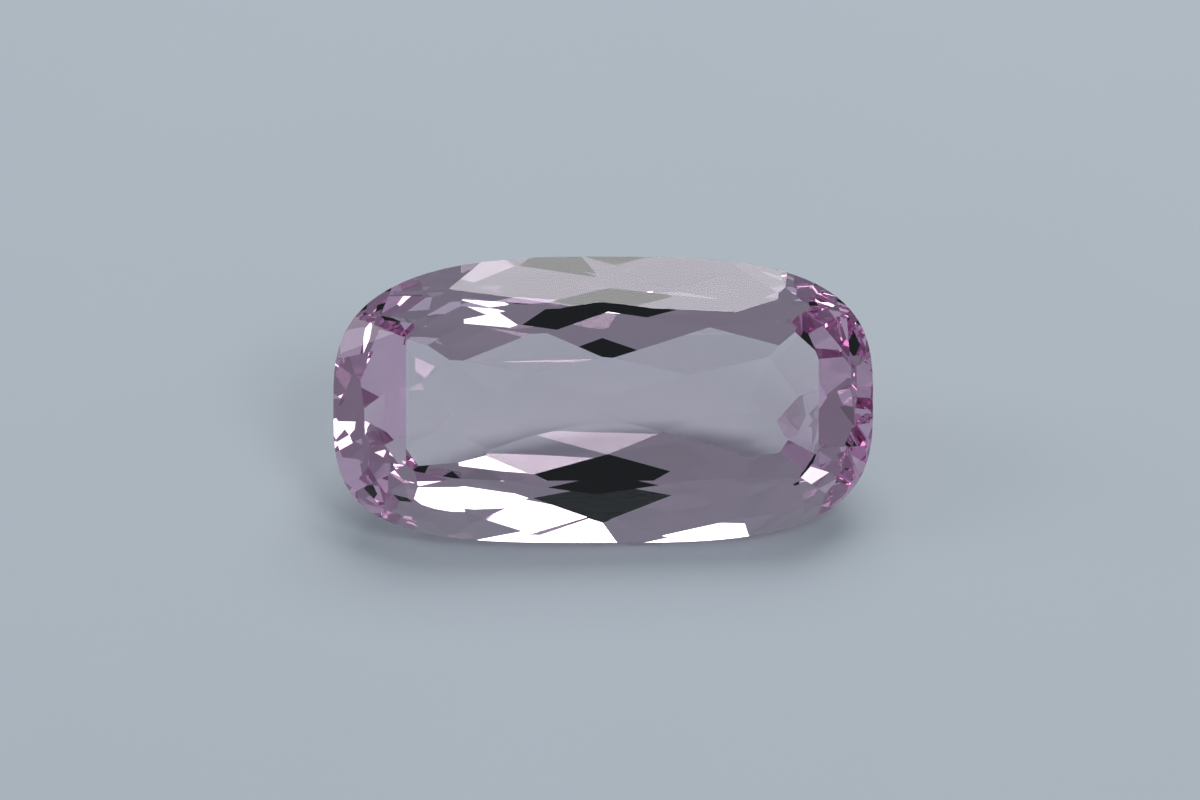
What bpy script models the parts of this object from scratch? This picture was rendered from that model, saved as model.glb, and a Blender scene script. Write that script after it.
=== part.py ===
"""A loose kunzite gemstone, cut as a long cushion and lying on one facet of its underside.

The stone is cut lying flat, in millimetres: X along its length, Y across it, Z up through the table, with z = 0 at
the upper edge of the girdle. It is then tipped forward on to the facet that it rests on. A direction is given in
degrees seen from above the table: 0 is the right end, 90 the back, 180 the left end and -90 the front.
"""

import math

import bmesh
import bpy
from mathutils import Matrix, Vector

MM = 0.001

# The girdle, the widest line round the stone. A corner's power is 2 for an ellipse and grows as it gets squarer.
LENGTH = 22.04
WIDTH = 11.68
BACK_RIGHT_POWER = 3.1
BACK_LEFT_POWER = 2.85
FRONT_LEFT_POWER = 3.6
FRONT_RIGHT_POWER = 3.2
STEPS_PER_CORNER = 26

# Heights above and below the girdle
CROWN_HEIGHT = 1.5
GIRDLE_BAND = 0.1
PAVILION_DEPTH = 4.75

# How far the uncut block stands out above the table and below the keel, and how near a cut may pass a corner
BLOCK_SPARE = 1.0
CUT_TOUCH = 0.0001

# Crown facets that run from the girdle up to the table: direction and steepness
CROWN_MAINS = (
    ("back_main_left", 93.0, 35.0),
    ("back_main_right", 87.5, 35.0),
    ("front_main_left", -93.0, 31.0),
    ("front_main_right", -87.0, 31.0),
    ("back_left_corner", 126.0, 34.5),
    ("back_right_corner", 58.0, 37.5),
    ("front_left_corner", -128.0, 31.5),
    ("front_right_corner", -50.0, 37.5),
    ("left_end_back", 158.0, 30.5),
    ("left_end", 180.0, 26.5),
    ("left_end_front", -158.0, 29.5),
    ("right_end_back", 22.0, 34.5),
    ("right_end", 0.0, 33.5),
    ("right_end_front", -20.0, 35.5),
)

# Two steeper crown facets stand between each main and the next, on the girdle
BREAK_PLACES = (0.27, 0.73)
BREAK_EXTRA_STEEPNESS = 7.0
BREAK_FULL_GAP = 20.0

# Star facets along the long edges of the table: direction, steepness, and a point of the table's edge
STARS = (
    ("back_star_left", 101.0, 26.0, (-4.2, 3.55)),
    ("back_star_middle", 90.0, 24.0, (0.7, 3.7)),
    ("back_star_right", 78.0, 26.0, (6.4, 3.35)),
    ("front_star_left", -100.0, 23.0, (-6.2, -3.17)),
    ("front_star_middle", -90.0, 21.0, (-0.5, -3.29)),
    ("front_star_right", -83.0, 22.0, (5.8, -3.25)),
)

# Pavilion facets from the keel outwards: direction, steepness, and the point where each one just reaches the
# surface that was cut before it
PAVILION_FACETS = (
    ("keel_back_left", 122.0, 12.0, (-0.08, 0.04)),
    ("keel_back_right", 71.0, 8.5, (-0.08, 0.04)),
    ("keel_front_left", -115.0, 15.0, (-0.08, 0.04)),
    ("keel_front_right", -76.5, 12.0, (-0.08, 0.04)),
    ("back_fan_middle", 94.0, 23.0, (-0.12, 0.08)),
    ("back_fan_left", 123.5, 15.5, (-3.74, 0.57)),
    ("keel_left_back", 145.5, 14.5, (-4.26, 0.12)),
    ("keel_left_front", -134.0, 16.5, (-4.24, 0.02)),
    ("back_fan_right", 56.5, 14.0, (3.98, 0.53)),
    ("keel_right_front", -46.5, 12.0, (4.47, -0.2)),
    ("back_slope_left", 97.0, 31.5, (-1.75, 1.34)),
    ("back_slope_right", 87.5, 34.5, (1.91, 1.38)),
    ("front_fan_middle", -93.5, 29.5, (0.0, -0.79)),
    ("front_fan_left", -114.0, 20.5, (-4.67, -0.89)),
    ("front_fan_right", -73.5, 27.5, (4.59, -0.61)),
    ("right_slope", 8.0, 25.5, (6.17, 0.2)),
    ("back_main_middle", 90.0, 38.0, (0.04, 1.75)),
    ("back_main_left", 100.0, 37.5, (-4.26, 2.19)),
    ("back_main_right", 85.5, 39.5, (5.64, 2.64)),
    ("right_slope_back", 15.5, 32.5, (6.82, 1.75)),
    ("left_slope", 176.0, 27.0, (-6.05, 0.81)),
    ("left_slope_back", 167.5, 30.0, (-6.94, 1.06)),
    ("right_corner_back", 29.0, 47.0, (8.28, 2.4)),
    ("front_slope_left", -95.0, 33.0, (-1.38, -1.83)),
    ("front_slope_right", -85.5, 39.0, (1.22, -1.83)),
    ("front_slope_far_left", -115.5, 31.5, (-5.24, -1.79)),
    ("front_slope_far_right", -73.5, 32.5, (6.29, -1.75)),
    ("right_slope_front", -13.0, 37.5, (7.51, -0.45)),
    ("right_corner_front", -61.0, 41.5, (7.39, -1.95)),
    ("front_main_middle", -88.5, 43.5, (0.0, -2.29)),
    ("front_main_left", -100.5, 43.0, (-6.01, -2.6)),
    ("front_main_right", -83.5, 44.0, (6.17, -2.4)),
    ("left_corner_front", -122.0, 38.0, (-7.84, -2.35)),
)

# The last row of pavilion facets, out to the girdle: direction and the point where each one starts. Its steepness
# follows, because it runs from there to the lower edge of the girdle.
GIRDLE_ROW = (
    ("back_left", 95.0, (-2.56, 2.72)),
    ("back_right", 87.5, (4.06, 3.04)),
    ("back_far_left", 106.0, (-5.6, 3.17)),
    ("back_far_right", 74.0, (7.39, 3.33)),
    ("back_left_corner", 128.0, (-8.32, 2.84)),
    ("back_right_corner", 55.0, (8.73, 3.05)),
    ("front_left", -92.5, (-2.76, -3.09)),
    ("front_right", -86.0, (2.64, -3.0)),
    ("front_far_left", -104.0, (-5.72, -3.57)),
    ("front_far_right", -76.0, (5.77, -3.41)),
    ("front_left_corner", -130.0, (-8.57, -3.41)),
    ("front_right_corner", -52.0, (8.81, -3.17)),
    ("left_end", 180.0, (-9.3, 0.0)),
    ("left_end_back", 160.0, (-9.05, 1.54)),
    ("left_end_front", -160.0, (-9.14, -1.54)),
    ("right_end", 0.0, (9.46, 0.0)),
    ("right_end_back", 20.0, (9.38, 1.54)),
    ("right_end_front", -20.0, (9.3, -1.54)),
)

# The pavilion facet that the stone lies on
REST_FACET = "front_main_middle"

COLOUR = (0.80, 0.66, 0.84, 1.0)
ROUGHNESS = 0.03
REFRACTIVE_INDEX = 1.665


def clear_scene():
    for obj in list(bpy.data.objects):
        bpy.data.objects.remove(obj)


def corner_power(across, along):
    """How square the girdle is in the quarter that a direction points to."""
    if along >= 0:
        return BACK_RIGHT_POWER if across >= 0 else BACK_LEFT_POWER
    return FRONT_RIGHT_POWER if across >= 0 else FRONT_LEFT_POWER


def girdle_outline():
    """The girdle seen from above: a cushion with four slightly different corners."""
    points = []
    steps = 4 * STEPS_PER_CORNER
    for step in range(steps):
        turn = 2 * math.pi * (step + 0.5) / steps
        across, along = math.cos(turn), math.sin(turn)
        share = 2 / corner_power(across, along)
        x = math.copysign(abs(across) ** share, across) * LENGTH / 2
        y = math.copysign(abs(along) ** share, along) * WIDTH / 2
        points.append((x, y))
    return points


def direction(azimuth):
    turn = math.radians(azimuth)
    return math.cos(turn), math.sin(turn)


def reach(outline, azimuth):
    """How far out the girdle goes in a direction, from the middle of the stone."""
    across, along = direction(azimuth)
    return max(x * across + y * along for x, y in outline)


def girdle_block(outline):
    """The uncut block: the girdle's outline drawn straight up and down."""
    top = CROWN_HEIGHT + BLOCK_SPARE
    bottom = -(GIRDLE_BAND + PAVILION_DEPTH + BLOCK_SPARE)
    curve = bpy.data.curves.new("girdle_outline", "CURVE")
    curve.dimensions = "2D"
    curve.fill_mode = "BOTH"
    curve.extrude = (top - bottom) / 2
    spline = curve.splines.new("POLY")
    spline.points.add(len(outline) - 1)
    for point, (x, y) in zip(spline.points, outline):
        point.co = (x, y, 0, 1)
    spline.use_cyclic_u = True
    drawn = bpy.data.objects.new("girdle_outline", curve)
    bpy.context.scene.collection.objects.link(drawn)
    graph = bpy.context.evaluated_depsgraph_get()
    mesh = bpy.data.meshes.new_from_object(drawn.evaluated_get(graph))
    body = bmesh.new()
    body.from_mesh(mesh)
    bpy.data.objects.remove(drawn)
    bpy.data.meshes.remove(mesh)
    bmesh.ops.remove_doubles(body, verts=body.verts, dist=CUT_TOUCH)
    bmesh.ops.translate(body, verts=body.verts, vec=(0, 0, (top + bottom) / 2))
    bmesh.ops.recalc_face_normals(body, faces=body.faces)
    return body


def cut(body, normal, point):
    """Grind away everything beyond one flat and leave the flat as a single facet."""
    everything = body.verts[:] + body.edges[:] + body.faces[:]
    result = bmesh.ops.bisect_plane(
        body, geom=everything, dist=CUT_TOUCH, plane_co=point, plane_no=normal, clear_outer=True
    )
    rim = [item for item in result["geom_cut"] if isinstance(item, bmesh.types.BMEdge)]
    if len(rim) > 2:
        bmesh.ops.edgeloop_fill(body, edges=rim)


def crown_normal(azimuth, steepness):
    across, along = direction(azimuth)
    lean = math.radians(steepness)
    return Vector((math.sin(lean) * across, math.sin(lean) * along, math.cos(lean)))


def cut_at_girdle(body, outline, azimuth, steepness):
    """A crown facet that just touches the upper edge of the girdle."""
    across, along = direction(azimuth)
    far = reach(outline, azimuth)
    cut(body, crown_normal(azimuth, steepness), (far * across, far * along, 0))


def breaks_between_mains():
    """The direction and steepness of the small crown facets that stand between the mains."""
    mains = sorted((azimuth % 360, steepness) for name, azimuth, steepness in CROWN_MAINS)
    following = mains[1:] + [(mains[0][0] + 360, mains[0][1])]
    found = []
    for (azimuth, steepness), (next_azimuth, next_steepness) in zip(mains, following):
        gap = next_azimuth - azimuth
        extra = BREAK_EXTRA_STEEPNESS * min(1, gap / BREAK_FULL_GAP)
        for place in BREAK_PLACES:
            between = steepness + (next_steepness - steepness) * place
            found.append((azimuth + gap * place, between + extra))
    return found


def cut_crown(body, outline):
    cut(body, (0, 0, 1), (0, 0, CROWN_HEIGHT))
    for name, azimuth, steepness in CROWN_MAINS:
        cut_at_girdle(body, outline, azimuth, steepness)
    for azimuth, steepness in breaks_between_mains():
        cut_at_girdle(body, outline, azimuth, steepness)
    for name, azimuth, steepness, (x, y) in STARS:
        cut(body, crown_normal(azimuth, steepness), (x, y, CROWN_HEIGHT))


def height_on(flat, x, y):
    rise_x, rise_y, middle = flat
    return rise_x * x + rise_y * y + middle


def flat_through(azimuth, rise, x, y, z):
    """A flat as its rise along X, its rise along Y and its height over the middle of the stone."""
    across, along = direction(azimuth)
    return rise * across, rise * along, z - rise * (across * x + along * y)


def pavilion_flats(outline):
    """Every flat of the pavilion by name, each starting where it meets the ones before it."""
    lower_edge = -GIRDLE_BAND
    flats = {}
    for name, azimuth, steepness, (x, y) in PAVILION_FACETS:
        keel = lower_edge - PAVILION_DEPTH
        z = max((height_on(flat, x, y) for flat in flats.values()), default=keel)
        flats[name] = flat_through(azimuth, math.tan(math.radians(steepness)), x, y, z)
    inner = list(flats.values())
    for name, azimuth, (x, y) in GIRDLE_ROW:
        across, along = direction(azimuth)
        z = max(height_on(flat, x, y) for flat in inner)
        run = reach(outline, azimuth) - (x * across + y * along)
        flats["girdle_" + name] = flat_through(azimuth, (lower_edge - z) / run, x, y, z)
    return flats


def outward(flat):
    rise_x, rise_y, middle = flat
    return Vector((rise_x, rise_y, -1)).normalized()


def cut_pavilion(body, flats):
    for flat in flats.values():
        cut(body, outward(flat), (0, 0, flat[2]))


def lay_down(body, rest):
    """Tip the stone on to its resting facet, with that facet at z = 0 and the stone centred over the origin."""
    tip = outward(rest).rotation_difference(Vector((0, 0, -1))).to_matrix().to_4x4()
    bmesh.ops.transform(body, matrix=Matrix.Scale(MM, 4) @ tip, verts=body.verts)
    low = [min(vert.co[axis] for vert in body.verts) for axis in range(3)]
    high = [max(vert.co[axis] for vert in body.verts) for axis in range(3)]
    shift = (-(low[0] + high[0]) / 2, -(low[1] + high[1]) / 2, -low[2])
    bmesh.ops.translate(body, verts=body.verts, vec=shift)


def kunzite():
    """Clear lilac stone with a polished skin."""
    material = bpy.data.materials.new("kunzite")
    material.use_nodes = True
    shader = material.node_tree.nodes["Principled BSDF"]
    shader.inputs["Base Color"].default_value = COLOUR
    shader.inputs["Roughness"].default_value = ROUGHNESS
    shader.inputs["Metallic"].default_value = 0.0
    shader.inputs["IOR"].default_value = REFRACTIVE_INDEX
    shader.inputs["Transmission Weight"].default_value = 1.0
    return material


def make_stone():
    outline = girdle_outline()
    body = girdle_block(outline)
    flats = pavilion_flats(outline)
    cut_crown(body, outline)
    cut_pavilion(body, flats)
    lay_down(body, flats[REST_FACET])
    mesh = bpy.data.meshes.new("kunzite_stone")
    body.to_mesh(mesh)
    body.free()
    mesh.materials.append(kunzite())
    collection = bpy.data.collections.new("kunzite_gemstone")
    bpy.context.scene.collection.children.link(collection)
    stone = bpy.data.objects.new("kunzite_stone", mesh)
    collection.objects.link(stone)
    return stone


clear_scene()
make_stone()
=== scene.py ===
# %% [markdown]
# # A lilac kunzite, cut as a long cushion
#
# This lesson dresses one cut stone. The shape is already there: a closed solid with flat, polished
# facets, lying tipped forward on one facet of its underside. What is left is what makes it look like
# kunzite: clear lilac crystal, a pale surface to lie on, soft light, and a camera that looks straight at
# the table, the large flat facet on top. The real stone also has fine needles and fibres grown inside it,
# and tiny chips along its table. Those are not made here.

import math

import bmesh
import bpy
from mathutils import Matrix, Vector

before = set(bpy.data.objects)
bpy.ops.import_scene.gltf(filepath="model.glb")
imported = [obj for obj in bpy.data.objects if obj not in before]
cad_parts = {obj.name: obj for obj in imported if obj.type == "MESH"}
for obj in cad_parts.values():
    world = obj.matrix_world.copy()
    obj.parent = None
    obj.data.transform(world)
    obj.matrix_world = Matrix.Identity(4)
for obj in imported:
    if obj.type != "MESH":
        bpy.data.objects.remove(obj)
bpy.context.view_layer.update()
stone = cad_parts["kunzite_stone"]
print("the stone has", len(stone.data.polygons), "triangles")

# %% [markdown]
# ## The stone's own directions
#
# A stone cutter measures everything from the table: along the stone, across it, and down from it. Needles
# and lights are easier to place in those directions than in the room's, so the first step finds them. The
# table is the largest flat face, so its normal can be read off the mesh: every triangle that faces the
# same way is added up, and the largest sum wins. The stone was tipped over by the shortest turn from
# lying flat, so the shortest turn from straight up to the table's normal gives back its other two
# directions.


def largest_flat(mesh):
    """The normal and the height along it of the largest flat face, from loose triangles."""
    areas = {}
    for face in mesh.polygons:
        key = tuple(round(part, 2) for part in face.normal)
        areas.setdefault(key, []).append(face)
    faces = max(areas.values(), key=lambda group: sum(face.area for face in group))
    normal = sum((face.normal * face.area for face in faces), Vector()).normalized()
    height = sum(face.center.dot(normal) for face in faces) / len(faces)
    return normal, height


table_normal, table_height = largest_flat(stone.data)
lying_turn = Vector((0, 0, 1)).rotation_difference(table_normal)
along = lying_turn @ Vector((1, 0, 0))
across = lying_turn @ Vector((0, 1, 0))


def reach_of_stone(direction):
    """The lowest and the highest place of the stone along a direction."""
    places = [vert.co.dot(direction) for vert in stone.data.vertices]
    return min(places), max(places)


left, right = reach_of_stone(along)
front, back = reach_of_stone(across)
table_middle = (
    along * (left + right) / 2 + across * (front + back) / 2 + table_normal * table_height
)
print("the table leans", round(math.degrees(table_normal.angle((0, 0, 1))), 1), "degrees from level")

# %% [markdown]
# ## Clear crystal
#
# Kunzite is clear all through, and its colour is so weak that it only shows where light has travelled a
# long way inside. A coloured glass surface would tint every facet alike, which is wrong: here the windows
# in the middle are grey and only the ends are lilac. So the surface is plain clear glass with kunzite's
# refractive index, and the colour is a Volume Absorption inside it, which takes a little green out of
# every millimetre. The polish is nearly perfect. A noise on Object coordinates roughens it in small
# patches, as faint polishing marks and dust do.

# %% Make the crystal material
REFRACTIVE_INDEX = 1.665
ABSORPTION_PER_METRE = 24.0
ABSORPTION_COLOUR = (0.66, 0.0, 0.50, 1.0)
HAZE_GRAINS_PER_METRE = 900.0
HAZE_STARTS = 0.55
HAZE_FULL = 0.8
HAZE_ROUGHNESS = 0.03


def new_material(name):
    """A material with only an output node, and short ways to add nodes and links to it."""
    material = bpy.data.materials.new(name)
    material.use_nodes = True
    nodes = material.node_tree.nodes
    nodes.clear()
    output = nodes.new("ShaderNodeOutputMaterial")
    return material, nodes, material.node_tree.links, output


def principled(nodes, links, output, **values):
    """A Principled shader on the output, with constants on its own sockets."""
    shader = nodes.new("ShaderNodeBsdfPrincipled")
    for name, value in values.items():
        shader.inputs[name.replace("_", " ")].default_value = value
    links.new(shader.outputs["BSDF"], output.inputs["Surface"])
    return shader


def noise(nodes, links, scale, detail=3.0):
    """A noise pattern on Object coordinates; scale counts its grains in a metre."""
    place = nodes.new("ShaderNodeTexCoord")
    pattern = nodes.new("ShaderNodeTexNoise")
    pattern.inputs["Scale"].default_value = scale
    pattern.inputs["Detail"].default_value = detail
    links.new(place.outputs["Object"], pattern.inputs["Vector"])
    return pattern


def spread(nodes, links, value, low_in, high_in, low_out, high_out):
    """Map Range: turns a pattern's values into the range that a socket needs."""
    ranged = nodes.new("ShaderNodeMapRange")
    ranged.inputs["From Min"].default_value = low_in
    ranged.inputs["From Max"].default_value = high_in
    ranged.inputs["To Min"].default_value = low_out
    ranged.inputs["To Max"].default_value = high_out
    links.new(value, ranged.inputs["Value"])
    return ranged.outputs["Result"]


def polished_kunzite():
    material, nodes, links, output = new_material("polished_kunzite")
    shader = principled(
        nodes, links, output, Base_Color=(1, 1, 1, 1), IOR=REFRACTIVE_INDEX, Transmission_Weight=1.0
    )
    haze = noise(nodes, links, scale=HAZE_GRAINS_PER_METRE)
    rough = spread(nodes, links, haze.outputs["Fac"], HAZE_STARTS, HAZE_FULL, 0.0, HAZE_ROUGHNESS)
    links.new(rough, shader.inputs["Roughness"])
    absorb = nodes.new("ShaderNodeVolumeAbsorption")
    absorb.inputs["Color"].default_value = ABSORPTION_COLOUR
    absorb.inputs["Density"].default_value = ABSORPTION_PER_METRE
    links.new(absorb.outputs["Volume"], output.inputs["Volume"])
    return material


crystal = polished_kunzite()
stone.data.materials.clear()
stone.data.materials.append(crystal)
print("crystal: index", REFRACTIVE_INDEX, "absorption per metre", ABSORPTION_PER_METRE)

# %% [markdown]
# ## The surface it lies on
#
# Not part of the stone, but the stone shows it: the grey windows in its middle are the surface seen
# through two polished facets. A large flat sheet is enough. Its colour is a pale cool grey with a very
# faint mottle, so that it doesn't look like a flat fill.

# %% Lay the pale surface
SURFACE_SIDE = 1.2
SURFACE_COLOUR = (0.62, 0.68, 0.73, 1.0)
SURFACE_SHADE = (0.59, 0.655, 0.705, 1.0)
SURFACE_ROUGHNESS = 0.75
SURFACE_GLOSS = 0.2
MOTTLE_GRAINS_PER_METRE = 60.0
MOTTLE_DETAIL = 4.0


def pale_surface():
    material, nodes, links, output = new_material("pale_surface")
    shader = principled(
        nodes, links, output, Roughness=SURFACE_ROUGHNESS, Specular_IOR_Level=SURFACE_GLOSS
    )
    mottle = noise(nodes, links, scale=MOTTLE_GRAINS_PER_METRE, detail=MOTTLE_DETAIL)
    mix = nodes.new("ShaderNodeMix")
    mix.data_type = "RGBA"
    mix.inputs["A"].default_value = SURFACE_COLOUR
    mix.inputs["B"].default_value = SURFACE_SHADE
    links.new(mottle.outputs["Fac"], mix.inputs["Factor"])
    links.new(mix.outputs["Result"], shader.inputs["Base Color"])
    return material


def lay_surface():
    body = bmesh.new()
    bmesh.ops.create_grid(body, x_segments=1, y_segments=1, size=SURFACE_SIDE / 2)
    mesh = bpy.data.meshes.new("pale_surface")
    body.to_mesh(mesh)
    body.free()
    mesh.materials.append(pale_surface())
    surface = bpy.data.objects.new("pale_surface", mesh)
    bpy.context.scene.collection.objects.link(surface)
    return surface


lay_surface()
print("surface side, m:", SURFACE_SIDE)

# %% [markdown]
# ## Soft light
#
# A cut stone is a set of small mirrors. Each facet shows one small piece of the room, so a bright panel
# gives white facets and a dark room gives black ones, and where the panels stand decides which facet is
# which. Area lights are used as panels, because a facet sees their shape. The large one stands behind the
# stone and a little to its right, high up. A smaller one fills in from the right and the front, and the
# weakest from the left. The rest of the room stays dim.

# %% Set up the light panels
ROOM_COLOUR = (0.80, 0.88, 1.0, 1.0)
ROOM_STRENGTH = 0.25
# azimuth in degrees (0 = right, 90 = behind), elevation, distance, width, height, power
PANELS = {
    "back_panel": (80.0, 50.0, 0.45, 0.30, 0.22, 0.9),
    "right_panel": (-35.0, 55.0, 0.45, 0.20, 0.20, 0.3),
    "left_panel": (170.0, 30.0, 0.45, 0.20, 0.20, 0.2),
}


def towards(azimuth, elevation):
    turn, rise = math.radians(azimuth), math.radians(elevation)
    return Vector((math.cos(turn) * math.cos(rise), math.sin(turn) * math.cos(rise), math.sin(rise)))


def add_panel(name, azimuth, elevation, distance, width, height, power):
    light = bpy.data.lights.new(name, "AREA")
    light.shape = "RECTANGLE"
    light.size = width
    light.size_y = height
    light.energy = power
    panel = bpy.data.objects.new(name, light)
    bpy.context.scene.collection.objects.link(panel)
    direction = towards(azimuth, elevation)
    panel.location = direction * distance
    panel.rotation_euler = direction.to_track_quat("Z", "Y").to_euler()
    return panel


for name, values in PANELS.items():
    add_panel(name, *values)

world = bpy.data.worlds.new("dim_room")
world.use_nodes = True
bpy.context.scene.world = world
room = world.node_tree.nodes["Background"]
room.inputs["Color"].default_value = ROOM_COLOUR
room.inputs["Strength"].default_value = ROOM_STRENGTH
print("light panels:", ", ".join(PANELS))

# %% [markdown]
# ## Long paths through the stone
#
# Light can bounce a dozen times between the facets before it leaves, and each bounce counts against the
# renderer's limits. With the usual limits the deep facets turn black, so the limits are raised. The plain
# Standard view transform keeps the pale surface and the white facets as bright as they are in life.

# %% Allow enough bounces
BOUNCES = 32
MATT_BOUNCES = 4
scene = bpy.context.scene
scene.cycles.max_bounces = BOUNCES
scene.cycles.transmission_bounces = BOUNCES
scene.cycles.glossy_bounces = BOUNCES
scene.cycles.diffuse_bounces = MATT_BOUNCES
scene.view_settings.view_transform = "Standard"
print("bounces allowed:", BOUNCES)

# %% [markdown]
# ## The camera
#
# The photograph looks straight down on the table with a long lens, so the camera stands on the table's
# normal. Its sideways direction is the stone's length. The distance follows from how wide the stone is in
# the picture: a share of the picture's width equals the same share of the width that the lens takes in.

# %% Place the camera
PICTURE_WIDTH = 1200
STONE_WIDTH_IN_PICTURE = 542.5
STONE_MIDDLE_FROM_LEFT = 603.2
STONE_MIDDLE_FROM_TOP = 399.7
PICTURE_HEIGHT = 800
LENS = 200.0
SENSOR = 36.0
NEAREST_SEEN = 0.01


def place_camera():
    camera = bpy.data.objects.new("camera", bpy.data.cameras.new("camera"))
    bpy.context.scene.collection.objects.link(camera)
    camera.data.lens = LENS
    camera.data.sensor_width = SENSOR
    picture_metres = (right - left) * PICTURE_WIDTH / STONE_WIDTH_IN_PICTURE
    distance = picture_metres * LENS / SENSOR
    pixel = picture_metres / PICTURE_WIDTH
    aim = table_middle
    aim = aim - along * (STONE_MIDDLE_FROM_LEFT - PICTURE_WIDTH / 2) * pixel
    aim = aim + across * (STONE_MIDDLE_FROM_TOP - PICTURE_HEIGHT / 2) * pixel
    looking = Matrix((along, across, table_normal)).transposed()
    camera.matrix_world = Matrix.Translation(aim + table_normal * distance) @ looking.to_4x4()
    camera.data.clip_start = NEAREST_SEEN
    bpy.context.scene.camera = camera
    return distance


print("camera distance, m:", round(place_camera(), 3))
